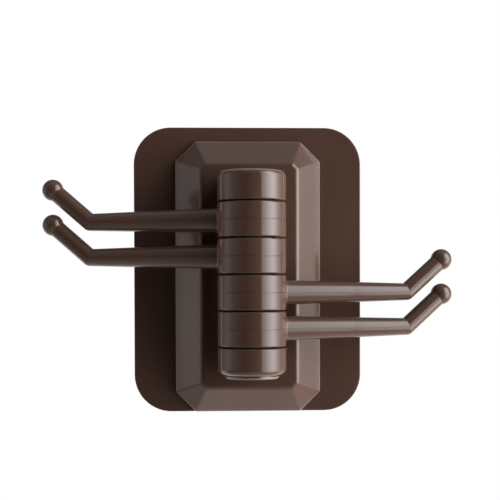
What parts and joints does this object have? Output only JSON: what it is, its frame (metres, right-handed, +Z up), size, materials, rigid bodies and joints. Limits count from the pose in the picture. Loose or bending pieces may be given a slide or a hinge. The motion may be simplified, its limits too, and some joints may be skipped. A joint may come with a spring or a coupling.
{
  "type": "rotating towel hook",
  "caption": "Adhesive wall-mounted towel hook with stacked swinging arms on an upright pivot; each arm has a raised ball tip.",
  "frame": {"origin": "centre of the adhesive's wall face, on the wall plane", "axes": "+Y points into the wall, so the hook stands out along -Y; +X is to the right as seen from the room and +Z is up"},
  "size_m": [0.1426, 0.0368, 0.1],
  "materials": {
    "brown_plastic": "polished dark brown ABS moulding",
    "brown_sheet": "smooth dark brown sheet, softer gloss than the mouldings",
    "adhesive": "cloudy pressure-sensitive gel",
    "foam_tape": "grey foam tape",
    "cover_plastic": "matt dark brown moulding",
    "zinc_steel": "bright zinc plate",
    "spring_steel": "plain rolled steel",
    "ground_steel": "ground tube",
    "brass": "turned brass",
    "washer_plastic": "black low-friction plastic"
  },
  "bodies": {
    "wall_unit": {"adhesive_layer": "adhesive", "backing_sheet": "brown_sheet", "bonding_tape": "foam_tape", "back_cover": "cover_plastic", "cover_screws": "zinc_steel", "housing": "brown_plastic", "top_lug": "brown_plastic", "bottom_lug": "brown_plastic", "brace_plate": "spring_steel", "lug_screws": "zinc_steel", "pivot_screw": "zinc_steel", "pivot_sleeve": "ground_steel", "threaded_insert": "brass", "disc_spring": "spring_steel", "bottom_plug": "brown_plastic", "friction_washer_1": "washer_plastic", "friction_washer_2": "washer_plastic", "friction_washer_3": "washer_plastic", "friction_washer_4": "washer_plastic", "friction_washer_5": "washer_plastic"},
    "arm_1": {"arm_1": "brown_plastic"},
    "arm_2": {"arm_2": "brown_plastic"},
    "arm_3": {"arm_3": "brown_plastic"},
    "arm_4": {"arm_4": "brown_plastic"}
  },
  "joints": [
    {"name": "arm_1_swing", "type": "hinge", "parent": "wall_unit", "child": "arm_1", "pos_m": [0, -0.0254, 0.01619], "axis": [0, 0, 1], "range_deg": [-2, 212]},
    {"name": "arm_2_swing", "type": "hinge", "parent": "wall_unit", "child": "arm_2", "pos_m": [0, -0.0254, 0.00413], "axis": [0, 0, 1], "range_deg": [-2, 212]},
    {"name": "arm_3_swing", "type": "hinge", "parent": "wall_unit", "child": "arm_3", "pos_m": [0, -0.0254, -0.00793], "axis": [0, 0, -1], "range_deg": [-2, 212]},
    {"name": "arm_4_swing", "type": "hinge", "parent": "wall_unit", "child": "arm_4", "pos_m": [0, -0.0254, -0.01999], "axis": [0, 0, -1], "range_deg": [-2, 212]}
  ]
}
